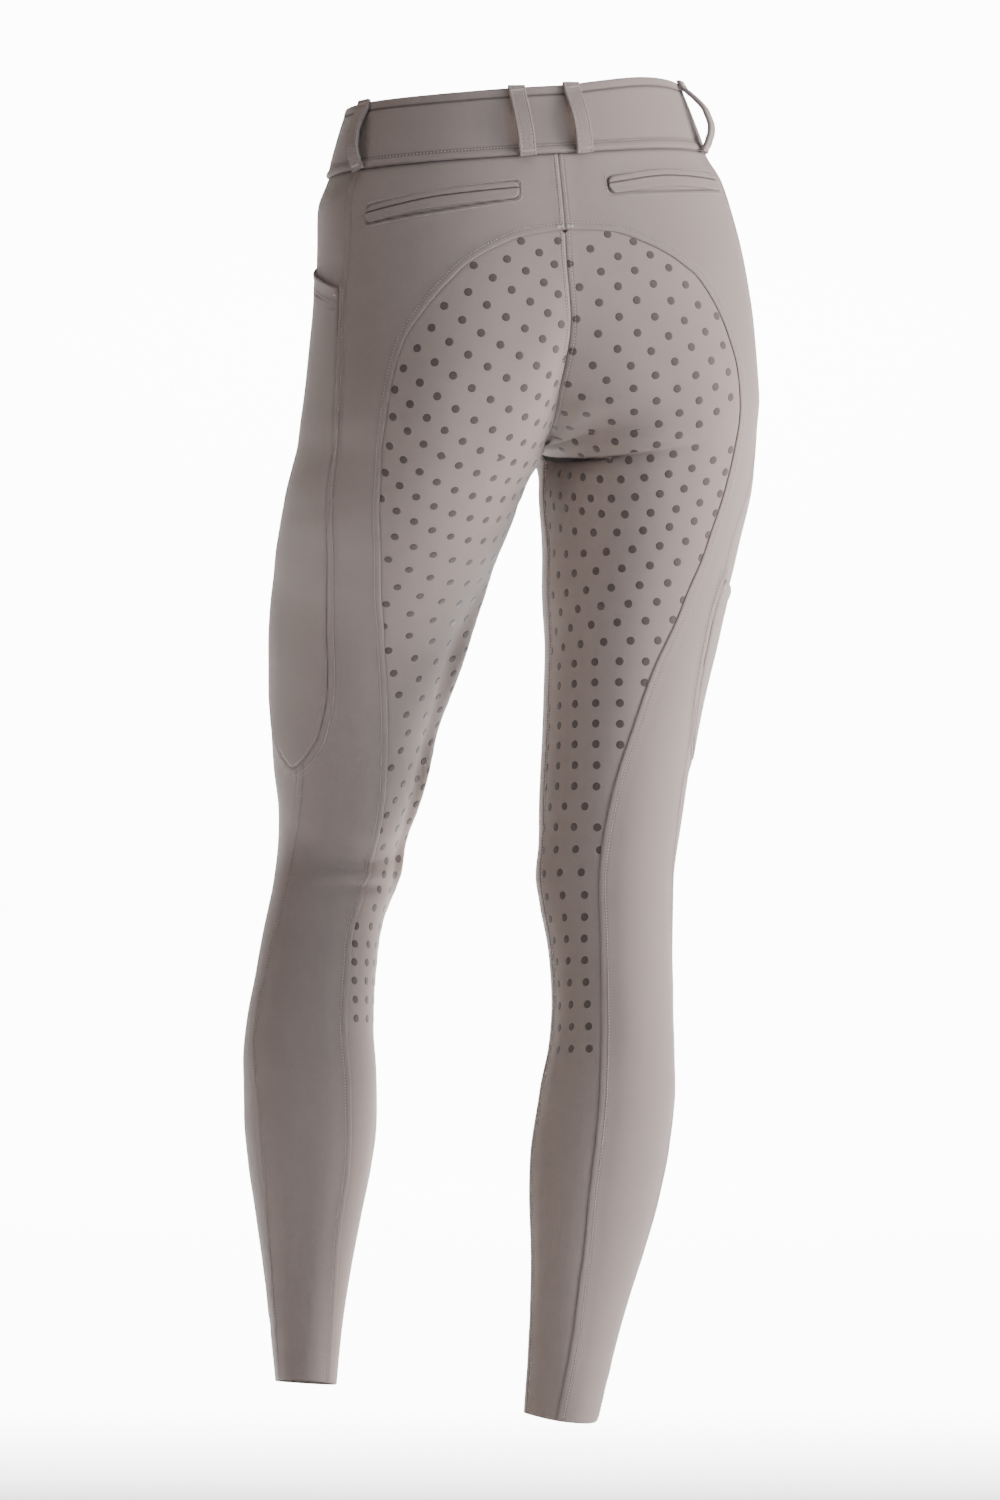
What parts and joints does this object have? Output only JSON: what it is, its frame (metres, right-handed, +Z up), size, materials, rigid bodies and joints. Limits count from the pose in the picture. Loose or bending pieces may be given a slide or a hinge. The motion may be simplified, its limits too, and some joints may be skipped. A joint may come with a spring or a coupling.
{
  "type": "riding breeches",
  "caption": "Close-fitting riding breeches with a gripped full seat, belt loops, welt pockets and thigh pockets, in worn shape with open waist and hems.",
  "frame": {"origin": "centre of the waist opening, level with the waistband's top edge", "axes": "+Z up along the body, wearer faces -Y, +X is the wearer's left"},
  "size_m": [0.3589, 0.3273, 0.979],
  "materials": {
    "stretch_cloth": "smooth matt technical stretch cloth, greige",
    "seat_cloth": "the same cloth with darker raised grip dots",
    "trim_cloth": "the same cloth, doubled and topstitched",
    "button": "plain four-hole button in the cloth's colour, a shade darker"
  },
  "bodies": {
    "root": {"front_panel_left": "stretch_cloth", "outer_back_panel_left": "stretch_cloth", "seat_panel_left": "seat_cloth", "thigh_pocket_left": "stretch_cloth", "front_panel_right": "stretch_cloth", "outer_back_panel_right": "stretch_cloth", "seat_panel_right": "seat_cloth", "thigh_pocket_right": "stretch_cloth", "back_pocket_welt_upper_left": "trim_cloth", "back_pocket_welt_lower_left": "trim_cloth", "back_pocket_welt_upper_right": "trim_cloth", "back_pocket_welt_lower_right": "trim_cloth", "waistband_back": "trim_cloth", "waistband_front_left": "trim_cloth", "waistband_front_right": "trim_cloth", "belt_loop_back_left": "trim_cloth", "belt_loop_back_right": "trim_cloth", "belt_loop_side_left": "trim_cloth", "belt_loop_side_right": "trim_cloth", "belt_loop_front_left": "trim_cloth", "belt_loop_front_right": "trim_cloth", "waist_button": "button"}
  },
  "joints": []
}
